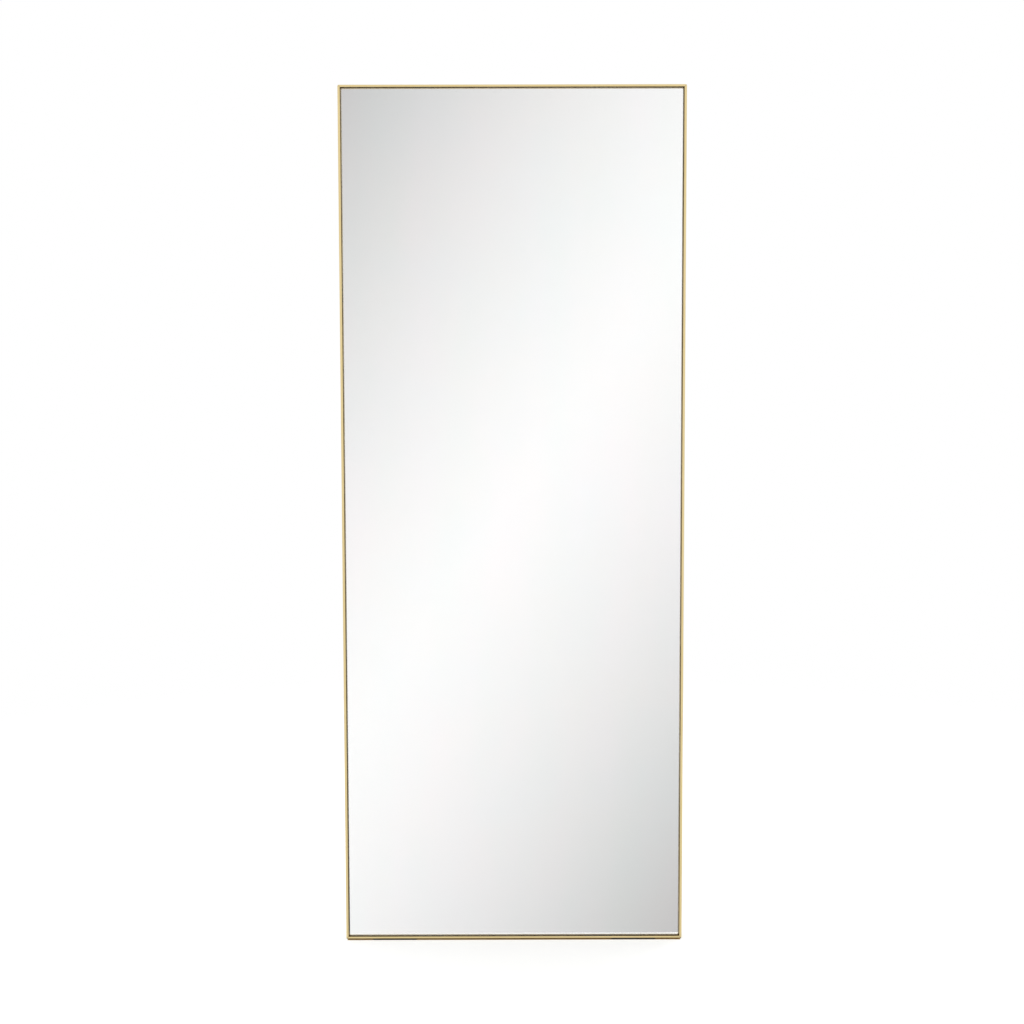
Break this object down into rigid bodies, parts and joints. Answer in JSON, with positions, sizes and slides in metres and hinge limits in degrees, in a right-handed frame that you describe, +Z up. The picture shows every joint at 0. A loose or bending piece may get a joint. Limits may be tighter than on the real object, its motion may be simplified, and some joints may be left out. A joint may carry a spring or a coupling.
{
  "type": "rectangular mirror",
  "caption": "Tall rectangular floor mirror in a thin brass-finish frame, for leaning on a wall or hanging by its rear rings.",
  "frame": {"origin": "on the floor, at the middle of the width and of the depth of the whole object, with the mirror upright", "axes": "+Z up along the stiles, +Y from the glass towards the wall, +X from the left stile to the right one as the glass is looked at"},
  "size_m": [0.762, 0.033, 1.907],
  "materials": {
    "brass_finish": "extruded aluminium, satin brass-coloured anodising",
    "zinc_steel": "bright zinc-plated steel",
    "float_glass": "clear float glass, silvered behind, ground edges",
    "silver": "silver coating with grey back paint",
    "film": "clear polyester safety film",
    "foam": "white closed-cell foam tape",
    "fibreboard": "plain medium-density fibreboard",
    "rubber": "matte black rubber"
  },
  "bodies": {
    "mirror": {"top_rail": "brass_finish", "bottom_rail": "brass_finish", "left_stile": "brass_finish", "right_stile": "brass_finish", "cleat_top_left": "zinc_steel", "cleat_top_right": "zinc_steel", "cleat_bottom_left": "zinc_steel", "cleat_bottom_right": "zinc_steel", "cleat_screws": "zinc_steel", "mirror_glass": "float_glass", "silver_coating": "silver", "safety_film": "film", "foam_tapes": "foam", "backing_board": "fibreboard", "panel_screws": "zinc_steel", "setting_blocks": "rubber", "edge_spacers": "rubber", "hanger_strap_left": "zinc_steel", "hanger_strap_right": "zinc_steel", "hanger_screws": "zinc_steel", "bumper_top_left": "rubber", "bumper_top_right": "rubber", "bumper_bottom_left": "rubber", "bumper_bottom_right": "rubber", "bumper_screws": "zinc_steel", "floor_pad_left": "rubber", "floor_pad_right": "rubber"},
    "ring_left": {"hanger_ring_left": "zinc_steel"},
    "ring_right": {"hanger_ring_right": "zinc_steel"}
  },
  "joints": [
    {"name": "ring_left_swing", "type": "hinge", "parent": "mirror", "child": "ring_left", "pos_m": [-0.3605, 0.00638, 1.6205], "axis": [1, 0, 0], "range_deg": [0, 180]},
    {"name": "ring_right_swing", "type": "hinge", "parent": "mirror", "child": "ring_right", "pos_m": [0.3605, 0.00638, 1.6205], "axis": [1, 0, 0], "range_deg": [0, 180]}
  ]
}
